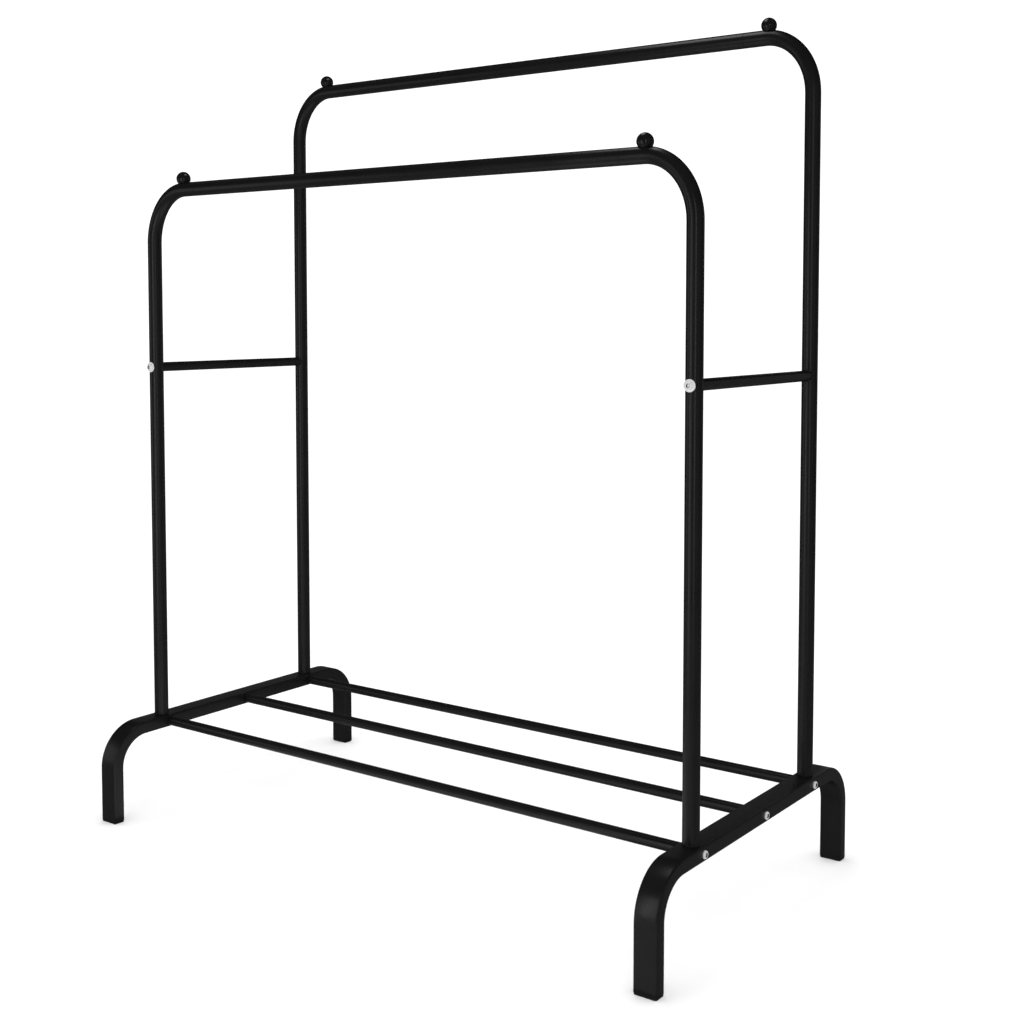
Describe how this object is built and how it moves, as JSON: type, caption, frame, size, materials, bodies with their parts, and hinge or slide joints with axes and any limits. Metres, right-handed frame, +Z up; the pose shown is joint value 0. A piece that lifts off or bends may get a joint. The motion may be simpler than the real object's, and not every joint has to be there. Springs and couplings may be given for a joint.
{
  "type": "garment rail",
  "caption": "Free-standing black tube garment rail with a lower front rail, a higher back rail, ball finials, side crossbars and a rod shoe shelf between bent leg frames.",
  "frame": {"origin": "on the floor, under the middle of the rack", "axes": "+Z up, +X along the hanging rails to the right, +Y from the lower front rail towards the higher back rail"},
  "size_m": [1.155, 0.621, 1.3765],
  "materials": {
    "powder_coat": "satin black powder coat with a fine orange-peel surface",
    "finial": "glossy moulded black plastic",
    "foot_plug": "matt moulded black plastic",
    "insert": "plain moulded black nylon, hidden inside the rods",
    "fastener": "bright zinc plate",
    "inner_steel": "plain steel, hidden inside the tubes"
  },
  "bodies": {
    "root": {"ball_finial_back_left": "finial", "ball_finial_back_right": "finial", "ball_finial_front_left": "finial", "ball_finial_front_right": "finial", "crossbar_bolt_left": "fastener", "crossbar_bolt_right": "fastener", "crossbar_insert_left": "insert", "crossbar_insert_right": "insert", "crossbar_left": "powder_coat", "crossbar_right": "powder_coat", "crossbar_washer_left": "fastener", "crossbar_washer_right": "fastener", "finial_stud_back_left": "fastener", "finial_stud_back_right": "fastener", "finial_stud_front_left": "fastener", "finial_stud_front_right": "fastener", "foot_plug_back_left": "foot_plug", "foot_plug_back_right": "foot_plug", "foot_plug_front_left": "foot_plug", "foot_plug_front_right": "foot_plug", "hanging_rail_back": "powder_coat", "hanging_rail_front": "powder_coat", "leg_frame_left": "powder_coat", "leg_frame_right": "powder_coat", "rail_joiner_back_left": "inner_steel", "rail_joiner_back_right": "inner_steel", "rail_joiner_front_left": "inner_steel", "rail_joiner_front_right": "inner_steel", "shelf_bolt_back_left": "fastener", "shelf_bolt_back_right": "fastener", "shelf_bolt_front_left": "fastener", "shelf_bolt_front_right": "fastener", "shelf_bolt_middle_left": "fastener", "shelf_bolt_middle_right": "fastener", "shelf_insert_back_left": "insert", "shelf_insert_back_right": "insert", "shelf_insert_front_left": "insert", "shelf_insert_front_right": "insert", "shelf_insert_middle_left": "insert", "shelf_insert_middle_right": "insert", "shelf_rod_back": "powder_coat", "shelf_rod_front": "powder_coat", "shelf_rod_middle": "powder_coat", "upright_back_left": "powder_coat", "upright_back_right": "powder_coat", "upright_front_left": "powder_coat", "upright_front_right": "powder_coat", "upright_stub_back_left": "inner_steel", "upright_stub_back_right": "inner_steel", "upright_stub_front_left": "inner_steel", "upright_stub_front_right": "inner_steel"}
  },
  "joints": []
}
